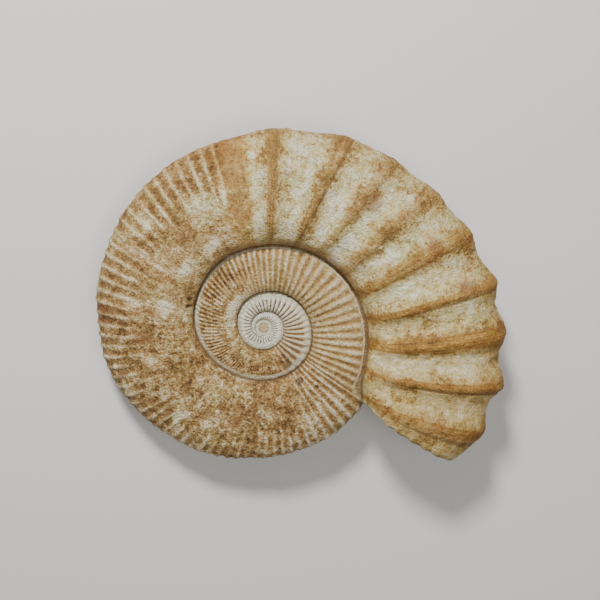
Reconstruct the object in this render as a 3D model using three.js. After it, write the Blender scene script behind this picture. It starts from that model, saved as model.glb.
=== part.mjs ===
// A large fossil ammonite, lying on its back face: one solid stone, coiled in a flat open spiral.
// The last half turn has broad ribs, the older turns have fine ones, and the mouth is a rough break.
// Sizes are in millimetres and angles in degrees. An angle is counted along the coil, anticlockwise
// seen from above and from the mouth inwards, so one turn further in is 360 more.
import * as THREE from "three";

// The coil in plan: where it ends, and its radii about the coiling axis.
const MOUTH = -36;
const TURN = 360;
const COIL_END = 1340;
const LAST_TURN_END = MOUTH + TURN;
const EDGE = [
  [-36, 293], [-20, 297.5], [-7, 295], [8, 289], [18, 282], [30, 273.5], [45, 263.5], [60, 257],
  [90, 242.5], [105, 235.5], [120, 231], [150, 218.5], [180, 206], [195, 201.5], [210, 193.5],
  [240, 179.5], [255, 174.3], [270, 167.8], [300, 162.3], [324, 158],
];
const SEAM = [
  [324, 150], [330, 139], [337, 133], [360, 126.5], [390, 119], [420, 111.5], [450, 104.5],
  [480, 100.5], [510, 93], [540, 85.5], [570, 75.5], [600, 68], [630, 66], [660, 65.3],
  [690, 64], [720, 59.5], [750, 55], [780, 50.5], [810, 45.7], [840, 41.5], [870, 36.5],
  [900, 32], [930, 30.3], [990, 28.3], [1050, 26.8], [1080, 25], [1140, 22.8], [1200, 18.5],
  [1260, 15], [1340, 12.2],
];
const KNOB_RADIUS = 10.6;
const KNOB_HEIGHT = 2.2;

// The whorl's cross-section: half its breadth, and two superellipses that meet where it is widest.
const MOUTH_HALF_BREADTH = 55;
const BREADTH_RATIO = 1.9;
const LEAST_HALF_BREADTH = 7.5;
const WIDEST_AT = 0.35;
const WALL_POWER = 2.3;
const FLANK_POWER = 2.3;
const COVER = 0.818;
const COVER_AT_MOUTH = 0.93;
const COVER_SETTLES = 12;
const SEAM_DEPTH = 1.5;

// How it lies: the height of the middle plane at the axis and its slopes, and the mesh's place.
const MIDDLE_HEIGHT = 47;
const SLOPE_X = 0.072;
const SLOPE_Y = 0;
const AXIS_X = -47.03;
const AXIS_Y = -37.59;

// The broad ribs: the angle of each crest at the seam, at mid-flank and at the outer edge, and the
// crests' height at the outer edge and on the flank.
const BROAD_RIBS = [
  [-34.3, -29.9, -25.4], [-21.9, -17.1, -13.6], [-8.1, -3.8, -0.9], [6.9, 10.3, 11.8],
  [21.4, 25.5, 25], [36.4, 40.3, 38.2], [55.5, 54.4, 52.5], [70.2, 68.7, 66.5], [86.2, 86.8, 87.5],
];
const MOUTH_EDGE = [-36, -37, -34.6];
const BROAD_STEPS = 6;
const BROAD_EDGE_HEIGHT = [
  [-36, 7], [-25, 11.5], [-12, 12.5], [0, 10.5], [11, 9], [25, 6], [39, 5.5], [54, 4], [87, 3], [97, 0],
];
const BROAD_FLANK_HEIGHT = [[-36, 6], [-20, 9.5], [10, 9], [40, 8], [70, 7], [87, 5.5], [97, 0]];

// The fine ribs: their spacing, their lean at the seam and at the outer edge, and their height as
// a share of their spacing, near the outer edge and on the inner flank.
const FINE_FROM = 105.25;
const FINE_AFTER_TURN = 2.2;
const FINE_SPACING = [
  [105, 4.1], [290, 4.1], [305, 4.8], [330, 4.5], [345, 5.3], [370, 6.1], [400, 6.7], [420, 6.2],
  [440, 5.2], [460, 4.5], [500, 4.1], [550, 3.7], [640, 3.7], [662, 9], [705, 8.8], [718, 8],
  [748, 8], [760, 9.2], [810, 8.2], [830, 9], [870, 9.9], [900, 11], [960, 12], [1020, 11],
  [1100, 10.4], [1340, 12],
];
const LEAN_AT_SEAM = [
  [105, 0], [280, -1], [324, -2], [370, -3.5], [400, -4.5], [425, -7], [450, -4], [480, 0],
  [540, 0], [660, -2], [720, -5], [800, -6], [1044, -5], [1340, -4],
];
const LEAN_AT_EDGE = [
  [105, 0], [280, -1], [324, 0], [400, 1], [430, 0.5], [470, -1.5], [540, -3], [660, 0],
  [720, 3], [1044, 3], [1340, 2],
];
const EDGE_RELIEF = [
  [105, 0.13], [324, 0.15], [360, 0.18], [450, 0.18], [560, 0.16], [600, 0.06], [655, 0.06],
  [668, 0.17], [840, 0.17], [900, 0.1], [1340, 0.08],
];
const FLANK_RELIEF = [
  [105, 0], [290, 0], [302, 0.16], [360, 0.18], [440, 0.18], [460, 0.07], [520, 0.04], [655, 0.04],
  [668, 0.17], [900, 0.17], [1340, 0.12],
];

// The share of the whorl's height at which the inner flank gives way to the outer one.
const OUTER_FLANK_FROM = [[105, 0.58], [420, 0.58], [460, 0.4], [1340, 0.4]];
const OUTER_FLANK_BLEND = 0.13;

// The break at the mouth: its edge is ragged, by an angle that dies away inwards, and its face is
// hollow and rough. Each unevenness is the product of two waves, given in degrees over its length.
const RAGGED_BY = 0.4;
const RAGGED_OVER = 5;
const RAGGED_WAVES = [1100, 1700];
const BREAK_HOLLOW = 5;
const BREAK_ROUGHNESS = 8;
const BREAK_WAVES = [700, 430];
const BREAK_WAVE_SHIFTS = [130, 200];

// The mesh's rows: shares of the whorl's height on each turn, angles over the outer edge, and the
// number of columns to a turn on the inner whorls of the underside.
const FLANK_ROWS = [
  [0, 0.012, 0.05, 0.16, 0.36, 0.56, 0.72, COVER],
  [0, 0.03, 0.12, 0.4, 0.62, COVER],
  [0, 0.06, 0.3, 0.6, COVER],
  [0, 0.2, 0.5, COVER],
];
const UNDERSIDE_ROWS = [
  [0, 0.03, 0.16, 0.42, 0.66, COVER],
  [0, 0.06, 0.3, 0.6, COVER],
  [0, 0.2, 0.5, COVER],
];
const EDGE_ROWS = 7;
const BREAK_RINGS = 5;
const UNDERSIDE_STEP = 9;

const cosine = (degrees) => Math.cos(THREE.MathUtils.degToRad(degrees));
const sine = (degrees) => Math.sin(THREE.MathUtils.degToRad(degrees));
const mix = THREE.MathUtils.lerp;
const ramp = THREE.MathUtils.smoothstep;

// A smooth value through [angle, value] pairs, level beyond both ends.
function through(pairs, angle) {
  const last = pairs.length - 1;
  if (angle <= pairs[0][0]) return pairs[0][1];
  if (angle >= pairs[last][0]) return pairs[last][1];
  const i = pairs.findIndex((pair) => pair[0] > angle) - 1;
  const slope = (k) => {
    const [before, after] = [pairs[Math.max(k - 1, 0)], pairs[Math.min(k + 1, last)]];
    return (after[1] - before[1]) / (after[0] - before[0]);
  };
  const span = pairs[i + 1][0] - pairs[i][0];
  const t = (angle - pairs[i][0]) / span;
  const rise = pairs[i + 1][1] - pairs[i][1];
  const [start, end] = [slope(i) * span, slope(i + 1) * span];
  return pairs[i][1] + t * start + t * t * (3 * rise - 2 * start - end) + t ** 3 * (start + end - 2 * rise);
}

// The radius at which one whorl meets the next one out, and the whorl's own inner and outer radius.
const seamRadius = (angle) => Math.max(through(SEAM, angle), KNOB_RADIUS);
function cover(angle) {
  const settled = ramp(angle, LAST_TURN_END, LAST_TURN_END + COVER_SETTLES);
  return angle < LAST_TURN_END ? COVER : mix(COVER_AT_MOUTH, COVER, settled);
}
const innerRadius = (angle) => (angle + TURN > COIL_END ? KNOB_RADIUS : seamRadius(angle + TURN));
function outerRadius(angle) {
  if (angle <= LAST_TURN_END) return through(EDGE, angle);
  return innerRadius(angle) + (seamRadius(angle) - innerRadius(angle)) / cover(angle);
}
const halfBreadth = (angle) =>
  Math.max(MOUTH_HALF_BREADTH * BREADTH_RATIO ** ((MOUTH - angle) / TURN), LEAST_HALF_BREADTH);
const superellipse = (share, power) => (1 - Math.min(Math.abs(share), 1) ** power) ** (1 / power);

// The height above the middle plane at which a whorl's flank meets the next whorl out.
function seamHeight(angle) {
  const share = (cover(angle) - WIDEST_AT) / (1 - WIDEST_AT);
  return halfBreadth(angle) * superellipse(share, FLANK_POWER);
}

// The whorl's outline in section at a share of its height: [radius, height], and its outward normal.
function section(angle, share) {
  const [inner, outer, half] = [innerRadius(angle), outerRadius(angle), halfBreadth(angle)];
  const height = outer - inner;
  const radius = inner + share * height;
  if (share < WIDEST_AT) {
    const foot = seamHeight(angle + TURN);
    const inward = 1 - share / WIDEST_AT;
    const rise = superellipse(inward, WALL_POWER);
    const normal = new THREE.Vector2(
      -(inward ** (WALL_POWER - 1)) / (WIDEST_AT * height),
      rise ** (WALL_POWER - 1) / (half - foot),
    ).normalize();
    return { radius, level: foot + (half - foot) * rise, normal };
  }
  const outward = (share - WIDEST_AT) / (1 - WIDEST_AT);
  const rise = superellipse(outward, FLANK_POWER);
  const normal = new THREE.Vector2(
    outward ** (FLANK_POWER - 1) / ((1 - WIDEST_AT) * height),
    rise ** (FLANK_POWER - 1) / half,
  ).normalize();
  return { radius, level: half * rise, normal };
}

// A column of the mesh follows a rib or the valley between two: its angle at the seam, at mid-flank
// and at the outer edge, and how far it is up a rib, from 0 in a valley to 1 on a crest.
function column(path, crest) {
  return { path, crest };
}

function columnAngle({ path }, share) {
  const [atSeam, middle, atEdge] = path;
  const bend = (atEdge + atSeam) / 2 - middle;
  const t = 2 * share - 1;
  const angle = middle + ((atEdge - atSeam) / 2) * t + bend * t * t;
  const nearMouth = 1 - ramp(angle, MOUTH, MOUTH + RAGGED_OVER);
  return angle + RAGGED_BY * nearMouth * sine(RAGGED_WAVES[0] * share) * sine(RAGGED_WAVES[1] * share);
}

const straight = (angle) => [angle, angle, angle];
const fineColumn = (angle, crest) =>
  column([angle + through(LEAN_AT_SEAM, angle), angle, angle + through(LEAN_AT_EDGE, angle)], crest);

// A broad rib is steeper on its side towards the mouth.
const crestAt = (phase) => (0.5 + 0.5 * cosine(TURN * phase)) ** (phase > 0.5 ? 2 : 1.2);

// Columns over the broad ribs, from the mouth inwards.
function broadColumns() {
  const columns = [column(MOUTH_EDGE, 0.35)];
  columns.push(column([-35.2, -34, -30.5], 0.5));
  BROAD_RIBS.forEach((rib, i) => {
    columns.push(column(rib, 1));
    const next = BROAD_RIBS[i + 1];
    if (!next) return;
    for (let k = 1; k < BROAD_STEPS; k++) {
      const phase = k / BROAD_STEPS;
      columns.push(column(rib.map((angle, end) => mix(angle, next[end], phase)), crestAt(phase)));
    }
  });
  columns.push(fineColumn(91.5, 0.4), fineColumn(96, 0.05), fineColumn(100, 0));
  return columns;
}

// Columns on the crests and in the valleys of the fine ribs, with one where the last turn ends.
function fineColumns() {
  const columns = [];
  let ended = false;
  for (let angle = FINE_FROM, crest = 1; angle < COIL_END - 6; crest = 1 - crest) {
    if (!ended && angle > LAST_TURN_END - 1) {
      columns.push(column(straight(LAST_TURN_END), 0));
      ended = true;
      angle = LAST_TURN_END + FINE_AFTER_TURN;
      crest = 1;
    }
    columns.push(fineColumn(angle, crest));
    angle += through(FINE_SPACING, angle) / 2;
  }
  columns.push(column(straight(COIL_END), 0));
  return columns;
}

// On the underside the ribs of the last turn are the same, and the inner whorls are plain.
function undersideColumns(columns) {
  const plain = [];
  for (let angle = LAST_TURN_END + UNDERSIDE_STEP; angle < COIL_END - 1; angle += UNDERSIDE_STEP) {
    plain.push(column(straight(angle), 0));
  }
  const lastTurn = columns.filter((each) => each.path[1] <= LAST_TURN_END);
  return [...lastTurn, ...plain, column(straight(COIL_END), 0)];
}

// The height of the ribs' crests above their valleys.
function ribHeight(angle, share) {
  if (angle < FINE_FROM - 2) {
    const onFlank = through(BROAD_FLANK_HEIGHT, angle) * ramp(share, 0.01, 0.24);
    return mix(onFlank, through(BROAD_EDGE_HEIGHT, angle), ramp(share, 0.55, 0.95));
  }
  const spacing = outerRadius(angle) * THREE.MathUtils.degToRad(through(FINE_SPACING, angle));
  const border = through(OUTER_FLANK_FROM, angle);
  const outward = ramp(share, border - OUTER_FLANK_BLEND, border + OUTER_FLANK_BLEND);
  const relief = mix(through(FLANK_RELIEF, angle), through(EDGE_RELIEF, angle), outward);
  return relief * spacing * ramp(share, 0.01, 0.15);
}

// A point of the surface. Side is 1 on the upper face and -1 on the underside.
function surfacePoint(each, share, side) {
  const angle = columnAngle(each, share);
  const { radius, level, normal } = section(angle, share);
  const lift = share === 0 ? -SEAM_DEPTH : each.crest * ribHeight(angle, share);
  const reach = radius + lift * (share === 0 ? 0 : normal.x);
  const height = side * (level + lift * (share === 0 ? 1 : normal.y));
  const [x, y] = [reach * cosine(angle), reach * sine(angle)];
  return new THREE.Vector3(x, y, height);
}

// The surface's points and triangles, as they are made.
const points = [];
const triangles = [];

function addPoint(point) {
  points.push(point);
  return points.length - 1;
}

// Joins two lines of points by triangles. Each point is [index, how far it is along the line].
function stitch(left, right, flip) {
  let [i, j] = [0, 0];
  while (i < left.length - 1 || j < right.length - 1) {
    const stepLeft = j === right.length - 1 || (i < left.length - 1 && left[i + 1][1] <= right[j + 1][1]);
    const next = stepLeft ? left[i + 1][0] : right[j + 1][0];
    const corners = [left[i][0], right[j][0], next];
    if (new Set(corners).size === 3) triangles.push(flip ? corners.reverse() : corners);
    if (stepLeft) i++;
    else j++;
  }
}

const turnOf = (each) => Math.floor((each.path[1] - MOUTH) / TURN);

function rowsOf(each, side) {
  const rows = side > 0 ? FLANK_ROWS : UNDERSIDE_ROWS;
  return rows[Math.min(Math.max(turnOf(each), 0), rows.length - 1)];
}

// One face of the coil: its columns of points from the seam outwards, stitched to each other and,
// on the inner whorls, to the seam of the whorl outside them.
function buildFace(columns, side) {
  const flip = side > 0;
  const lastTurnEnd = columns.findIndex((each) => each.path[1] >= LAST_TURN_END);
  const ladders = columns.map((each, k) => {
    const rows = rowsOf(each, side);
    const own = k < lastTurnEnd ? rows : rows.slice(0, -1);
    return own.map((share) => [addPoint(surfacePoint(each, share, side)), share / COVER]);
  });
  const mouthFoot = ladders[0][0][0];
  for (let k = 0; k + 1 < ladders.length; k++) {
    const next = k === lastTurnEnd - 1 ? [...ladders[k + 1], [mouthFoot, 1]] : ladders[k + 1];
    stitch(ladders[k], next, flip);
  }
  const seamEnd = ladders.findIndex((_, k) => columnAngle(columns[k], 0) + TURN > COIL_END) - 1;
  const feet = ladders.slice(0, seamEnd + 1).map((ladder) => ladder[0][0]);
  const seam = feet.map((index, k) => [index, columnAngle(columns[k], 0) + TURN]);
  const inside = ladders.slice(lastTurnEnd).map((ladder, k) => {
    const each = columns[lastTurnEnd + k];
    const share = rowsOf(each, side).at(-2);
    return [ladder.at(-1)[0], columnAngle(each, share)];
  });
  stitch(inside, seam, !flip);
  closeCentre(ladders, seamEnd, side);
  return { ladders, lastTurnEnd, mouthFoot };
}

// The knob at the centre closes the innermost whorl.
function closeCentre(ladders, seamEnd, side) {
  const rim = ladders.slice(seamEnd).map((ladder) => ladder[0][0]);
  rim.push(...ladders.at(-1).slice(1).map(([index]) => index));
  const level = points[rim[0]].z + side * KNOB_HEIGHT;
  const centre = addPoint(new THREE.Vector3(0, 0, level));
  rim.forEach((index, k) => {
    const corners = [index, rim[(k + 1) % rim.length], centre];
    triangles.push(side < 0 ? corners.reverse() : corners);
  });
}

// The outer edge of the last turn, from one face over to the other.
function buildEdge(columns, upper, lower) {
  const { lastTurnEnd } = upper;
  const hoops = columns.slice(0, lastTurnEnd + 1).map((each, k) => {
    const endOf = (face) => (k < lastTurnEnd ? face.ladders[k].at(-1)[0] : face.mouthFoot);
    const ends = [endOf(upper), endOf(lower)];
    const outward = (cover(Math.min(each.path[1], LAST_TURN_END)) - WIDEST_AT) / (1 - WIDEST_AT);
    const from = THREE.MathUtils.radToDeg(Math.asin(outward ** (FLANK_POWER / 2)));
    const hoop = [[ends[0], 0]];
    for (let row = 1; row < EDGE_ROWS; row++) {
      const turn = mix(from, 180 - from, row / EDGE_ROWS);
      const share = WIDEST_AT + (1 - WIDEST_AT) * sine(turn) ** (2 / FLANK_POWER);
      const side = turn < 90 ? 1 : -1;
      hoop.push([addPoint(surfacePoint(each, Math.min(share, 1), side)), row / EDGE_ROWS]);
    }
    return [...hoop, [ends[1], 1]];
  });
  for (let k = 0; k < lastTurnEnd; k++) stitch(hoops[k], hoops[k + 1], true);
  return hoops;
}

// The rough break at the mouth, in rings from its rim in to the outer edge of the whorl inside.
function buildMouth(upper, lower, hoops) {
  const rim = [
    ...upper.ladders[0].map(([index]) => index),
    ...hoops[0].slice(1, -1).map(([index]) => index),
    ...lower.ladders[0].map(([index]) => index).reverse(),
  ];
  const core = hoops.at(-1).map(([index]) => index);
  const along = (line) => line.map((index, k) => [index, k / (line.length - 1)]);
  const at = (line, t) => {
    const place = t * (line.length - 1);
    const k = Math.min(Math.floor(place), line.length - 2);
    return points[line[k]].clone().lerp(points[line[k + 1]], place - k);
  };
  const inward = new THREE.Vector3(-sine(MOUTH), cosine(MOUTH), 0);
  let outer = along(rim);
  for (let ring = 1; ring <= BREAK_RINGS; ring++) {
    const share = ring / BREAK_RINGS;
    const count = Math.round(mix(rim.length, core.length, share));
    const next = [];
    for (let k = 0; k < count && share < 1; k++) {
      const t = k / (count - 1);
      const isEnd = k === 0 || k === count - 1;
      const [long, short] = BREAK_WAVES.map((wave, k) => sine(wave * t + BREAK_WAVE_SHIFTS[k] * ring));
      const hollow = (BREAK_HOLLOW + BREAK_ROUGHNESS * long * short) * sine(180 * t) * sine(180 * share);
      const point = at(rim, t).lerp(at(core, t), share).addScaledVector(inward, hollow);
      next.push([isEnd ? rim[k === 0 ? 0 : rim.length - 1] : addPoint(point), t]);
    }
    const inner = share < 1 ? next : along(core);
    stitch(outer, inner, false);
    outer = inner;
  }
}

// The whole surface, laid down so that its middle plane has the right height and slopes.
function ammoniteGeometry() {
  const columns = [...broadColumns(), ...fineColumns()];
  const upper = buildFace(columns, 1);
  const lower = buildFace(undersideColumns(columns), -1);
  const hoops = buildEdge(columns, upper, lower);
  buildMouth(upper, lower, hoops);
  const positions = points.flatMap(({ x, y, z }) => [
    x + AXIS_X,
    y + AXIS_Y,
    Math.max(z + MIDDLE_HEIGHT + SLOPE_X * x + SLOPE_Y * y, 0),
  ]);
  const geometry = new THREE.BufferGeometry();
  geometry.setAttribute("position", new THREE.Float32BufferAttribute(positions, 3));
  geometry.setIndex(triangles.flat());
  geometry.computeVertexNormals();
  return geometry;
}

const stone = new THREE.MeshStandardMaterial({ color: 0xb49872, roughness: 0.78, metalness: 0 });
const ammonite = new THREE.Mesh(ammoniteGeometry(), stone);
ammonite.name = "ammonite";

const fossil = new THREE.Group();
fossil.add(ammonite);

export default fossil;
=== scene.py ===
# A large fossil ammonite seen from above its face: a coiled limestone shell with broad ochre ribs
# and whitish crust on the last third of a turn, fine ribs on the rest and a broken mouth.
# The shape follows the part's formulas, in millimetres and degrees, with the ribs cut finer and
# the stone's roughness added. Angles run along the coil from the mouth inwards.
import math

import bpy
import numpy as np
from mathutils import Matrix, Vector


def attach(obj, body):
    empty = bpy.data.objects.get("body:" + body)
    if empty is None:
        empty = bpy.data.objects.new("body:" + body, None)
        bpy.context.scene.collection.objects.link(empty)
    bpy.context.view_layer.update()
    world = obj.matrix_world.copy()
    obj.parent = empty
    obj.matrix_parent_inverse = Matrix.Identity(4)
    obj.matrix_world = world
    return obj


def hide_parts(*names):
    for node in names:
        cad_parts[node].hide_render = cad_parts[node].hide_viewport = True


MM = 0.001

# The coil in plan: its angles, and its radii about the coiling axis.
MOUTH = -36
TURN = 360
COIL_END = 1340
LAST_TURN_END = MOUTH + TURN
EDGE = [
    (-36, 293), (-20, 297.5), (-7, 295), (8, 289), (18, 282), (30, 273.5), (45, 263.5), (60, 257),
    (90, 242.5), (105, 235.5), (120, 231), (150, 218.5), (180, 206), (195, 201.5), (210, 193.5),
    (240, 179.5), (255, 174.3), (270, 167.8), (300, 162.3), (324, 158),
]
SEAM = [
    (324, 150), (330, 139), (337, 133), (360, 126.5), (390, 119), (420, 111.5), (450, 104.5),
    (480, 100.5), (510, 93), (540, 85.5), (570, 75.5), (600, 68), (630, 66), (660, 65.3),
    (690, 64), (720, 59.5), (750, 55), (780, 50.5), (810, 45.7), (840, 41.5), (870, 36.5),
    (900, 32), (930, 30.3), (990, 28.3), (1050, 26.8), (1080, 25), (1140, 22.8), (1200, 18.5),
    (1260, 15), (1340, 12.2),
]
KNOB_RADIUS = 10.6
KNOB_HEIGHT = 2.2
KNOB_RINGS = (0.82, 0.45)

# The angles that stand for the knob and for the break in the mouth, which lie off the coil.
ON_KNOB = COIL_END + 20
IN_MOUTH = MOUTH - 10

# The whorl's cross-section.
MOUTH_HALF_BREADTH = 55
BREADTH_RATIO = 1.9
LEAST_HALF_BREADTH = 7.5
WIDEST_AT = 0.35
WALL_POWER = 2.3
FLANK_POWER = 2.3
COVER = 0.818
COVER_AT_MOUTH = 0.93
COVER_SETTLES = 12
SEAM_DEPTH = 1.5

# How it lies, as in the part.
MIDDLE_HEIGHT = 47
SLOPE_X = 0.072
AXIS_X = -47.03
AXIS_Y = -37.59

# The broad ribs: their crests at the seam, mid-flank and outer edge, and how far the last one fades.
BROAD_RIBS = [
    (-34.3, -29.9, -25.4), (-21.9, -17.1, -13.6), (-8.1, -3.8, -0.9), (6.9, 10.3, 11.8),
    (21.4, 25.5, 25), (36.4, 40.3, 38.2), (55.5, 54.4, 52.5), (70.2, 68.7, 66.5), (86.2, 86.8, 87.5),
]
LAST_RIB_FADES = 11

# The columns of the surface between the mouth and the first broad rib, given in the same way, and
# how far along the first rib's wave each one is. The mouth's edge is ragged.
MOUTH_COLUMNS = [
    (-36, -37, -34.6), (-35.8, -36, -33.2), (-35.5, -35, -31.8), (-35.2, -34, -30.2), (-34.9, -32.9, -28.8),
    (-34.6, -31.4, -27),
]
MOUTH_PHASES = [-0.38, -0.31, -0.24, -0.17, -0.12, -0.06]
RAGGED_BY = 0.4
RAGGED_OVER = 5
RAGGED_WAVES = (1100, 1700)

# The broad ribs' height in millimetres at the outer edge and on the flank, as (angle, height) pairs.
# The lists of pairs below are read in the same way.
BROAD_EDGE_HEIGHT = [
    (-36, 7), (-25, 11.5), (-12, 12.5), (0, 10.5), (11, 9), (25, 6), (39, 5.5), (54, 4), (87, 3), (97, 0),
]
BROAD_FLANK_HEIGHT = [(-36, 6), (-20, 9.5), (10, 9), (40, 8), (70, 7), (87, 5.5), (97, 0)]

# The fine ribs: spacing, lean at the seam and at the edge, and height as a share of the spacing.
FINE_FROM = 105.25
FINE_AFTER_TURN = 2.2
FINE_SPACING = [
    (105, 4.1), (290, 4.1), (305, 4.8), (330, 4.5), (345, 5.3), (370, 6.1), (400, 6.7), (420, 6.2),
    (440, 5.2), (460, 4.5), (500, 4.1), (550, 3.7), (640, 3.7), (662, 9), (705, 8.8), (718, 8),
    (748, 8), (760, 9.2), (810, 8.2), (830, 9), (870, 9.9), (900, 11), (960, 12), (1020, 11),
    (1100, 10.4), (1340, 12),
]
LEAN_AT_SEAM = [
    (105, 0), (280, -1), (324, -2), (370, -3.5), (400, -4.5), (425, -7), (450, -4), (480, 0),
    (540, 0), (660, -2), (720, -5), (800, -6), (1044, -5), (1340, -4),
]
LEAN_AT_EDGE = [
    (105, 0), (280, -1), (324, 0), (400, 1), (430, 0.5), (470, -1.5), (540, -3), (660, 0),
    (720, 3), (1044, 3), (1340, 2),
]
EDGE_RELIEF = [
    (105, 0.13), (324, 0.15), (360, 0.18), (450, 0.18), (560, 0.16), (600, 0.06), (655, 0.06),
    (668, 0.17), (840, 0.17), (900, 0.1), (1340, 0.08),
]
FLANK_RELIEF = [
    (105, 0), (290, 0), (302, 0.16), (360, 0.18), (440, 0.18), (460, 0.07), (520, 0.04), (655, 0.04),
    (668, 0.17), (900, 0.17), (1340, 0.12),
]
OUTER_FLANK_FROM = [(105, 0.58), (420, 0.58), (460, 0.4), (1340, 0.4)]
OUTER_FLANK_BLEND = 0.13

# The ochre band along each broad rib: its half width as a share of the ribs' spacing, and how strong
# it is. The crease on the ribs' side towards the mouth, a small groove with painted shade: how strong
# it is. All are given by angle.
OCHRE_HALF_WIDTH = [
    (-36, 0.1), (-30, 0.09), (-17, 0.09), (-11, 0.15), (-4, 0.23), (4, 0.15), (10, 0.1), (18, 0.14),
    (25, 0.2), (40, 0.17), (54, 0.13), (69, 0.11), (88, 0.1), (94, 0.1), (98, 0.7), (106, 0.7),
    (112, 0.2), (122, 0),
]
OCHRE_STRENGTH = [
    (-36, 0.6), (-30, 0.75), (-17, 0.95), (-4, 1), (10, 0.95), (25, 0.85), (40, 0.55), (54, 0.6),
    (69, 0.9), (88, 1),
]
CREASE_STRENGTH = [
    (-36, 0.5), (-30, 0.8), (-17, 1), (-4, 0.3), (10, 0.7), (25, 0.4), (40, 0.2), (54, 0.4), (69, 0.8),
    (80, 0.1), (88, 0.2), (92, 0),
]
CREASE_AT = -0.12
CREASE_HALF_WIDTH = 0.035

# The share of the whorl's height from which the valleys of the whitish turns fade out, and that
# from which the inner turns have a pale smooth rim.
VALLEYS_FADE_FROM = [(684, 0.52), (745, 0.47), (800, 0.4), (900, 0.34), (1044, 0.28), (1340, 0.28)]
RIM_FROM = [
    (430, 0.8), (470, 0.76), (540, 0.72), (590, 0.7), (640, 0.68), (684, 0.63), (720, 0.6), (1340, 0.58),
]

# How sharp the fine ribs are: above 1 for narrow crests, below 1 for narrow valleys.
CREST_POWER = [
    (105, 3), (290, 2.6), (305, 2), (345, 0.7), (420, 0.7), (445, 1.4), (684, 1.4), (745, 0.6), (1340, 0.6),
]

# Whitish, dark and rust-coloured marks on the face: angle, radius, half length along the coil in
# degrees, and half width across it in millimetres.
PALE_MARKS = [
    (118, 170, 6, 20), (111, 160, 3, 10), (106.5, 172, 1.1, 17), (93, 165, 2.6, 46), (166, 125, 5, 13),
    (119, 122, 9, 8), (141, 122, 6, 8), (18, 195, 5, 50), (47, 160, 5, 45), (61, 180, 4, 40),
    (-10, 170, 3, 20), (500, 47, 25, 6), (545, 41, 25, 5),
    (167, 165, 2.2, 15), (195, 144, 3.5, 9), (148, 178, 1.1, 45), (80, 228, 6, 13), (90, 229, 3, 7),
    (136, 196, 2.5, 12), (60, 150, 4, 20), (75, 170, 3.5, 40), (240, 134, 5, 10), (226, 150, 4, 10),
    (-11, 215, 2, 42), (16, 190, 2.5, 40), (33, 170, 3, 30),
]
DARK_MARKS = [
    (157, 98, 1.6, 3), (162, 97, 1.3, 3), (303, 78, 2.6, 5), (307, 77, 1.5, 3), (313, 96, 1.6, 2.5),
]
RUST_MARKS = [
    (172, 199, 1.5, 14), (177, 203, 1.5, 16), (183, 150, 2.5, 12), (198, 185, 1.2, 9), (253, 120, 3, 8),
    (268, 110, 4, 7), (27, 228, 3, 9), (13, 250, 2, 12), (50, 205, 2.5, 14),
]

# The stone's roughness, in millimetres: slow waves, lumps, grains, crust, and the depth of the
# creases and pits. The bump stands for what is finer.
WAVE_HEIGHT = 1.5
LUMP_HEIGHT = 0.8
GRAIN_HEIGHT = 0.7
CRUST_HEIGHT = 1.9
CREASE_DEPTH = 0.9
PIT_DEPTH = 3
BUMP_DEPTH = 4

# Colours in sRGB from 0 to 255, and tints that a colour is multiplied by.
# Painted shade for the crease on the broad ribs' side towards the mouth.
CREASE_SHADE_COLOUR = (108, 80, 46)
LINE_COLOUR = (220, 212, 186)
# Partly painted shade: brown for the last turn's wall at the top, where it faces away from the light.
WALL_SHADE_COLOUR = (148, 116, 70)
# Painted shade: dark colours for the crevice where one turn meets the next.
FOOT_SHADE_COLOUR = (100, 80, 56)
SEAM_SHADE_COLOUR = (116, 86, 52)
RUST_COLOUR = (134, 84, 48)
PIT_COLOUR = (80, 52, 34)
FLOOR_COLOUR = (214, 212, 208)
BROWN_TINT = (0.82, 0.72, 0.55, 1)
OCHRE_TINT = (0.97, 0.93, 0.78, 1)

# How finely the surface is cut: columns to a rib, the gaps and steps in degrees where there is no
# whole rib, and rows on each turn.
BROAD_STEPS = 26
FIRST_GAP = 0.6
FADING_STEP = 0.55
LAST_GAP = 0.4
LEAD_STEP = 0.6
FINE_STEPS = [8, 6, 10, 8]
FLANK_ROWS = [56, 27, 20, 10]
UNDERSIDE_ROWS = [18, 11, 7, 5]
UNDERSIDE_STEP = 3
EDGE_ROWS = 22
BREAK_RINGS = 12
BREAK_HOLLOW = 5
BREAK_LUMPS = 9
BREAK_GRAIN = 3

# The camera: it looks straight at the image's centre, which lies beside the coiling axis.
SEEN_X = 46
SEEN_Y = 34.1
CAMERA_DISTANCE = 1250
CAMERA_PITCH = 8
LENS = 59.8
SENSOR_WIDTH = 36

# The lights: where they are and how wide, in metres, and their power. The floor's width.
KEY_LIGHT = ((-0.5, 1.65, 1.65), 0.45, 77)
FILL_LIGHT = ((0.5, -0.3, 2.2), 1.2, 16)
SKY_STRENGTH = 0.27
FLOOR_WIDTH = 8


def smooth(value, low, high):
    t = np.clip((value - low) / (high - low), 0, 1)
    return t * t * (3 - 2 * t)


def mix(a, b, t):
    return a + (b - a) * t


def through(pairs, angle):
    """A smooth value through (angle, value) pairs, level beyond both ends."""
    at = np.array([pair[0] for pair in pairs], float)
    values = np.array([pair[1] for pair in pairs], float)
    angle = np.clip(angle, at[0], at[-1])
    before = np.r_[0, np.arange(len(at) - 1)]
    after = np.r_[np.arange(1, len(at)), len(at) - 1]
    slope = (values[after] - values[before]) / (at[after] - at[before])
    i = np.clip(np.searchsorted(at, angle, side="right") - 1, 0, len(at) - 2)
    span = at[i + 1] - at[i]
    t = (angle - at[i]) / span
    rise = values[i + 1] - values[i]
    start, end = slope[i] * span, slope[i + 1] * span
    return values[i] + t * start + t**2 * (3 * rise - 2 * start - end) + t**3 * (start + end - 2 * rise)


def seam_radius(angle):
    return np.maximum(through(SEAM, angle), KNOB_RADIUS)


def cover(angle):
    settled = mix(COVER_AT_MOUTH, COVER, smooth(angle, LAST_TURN_END, LAST_TURN_END + COVER_SETTLES))
    return np.where(angle < LAST_TURN_END, COVER, settled)


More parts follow.
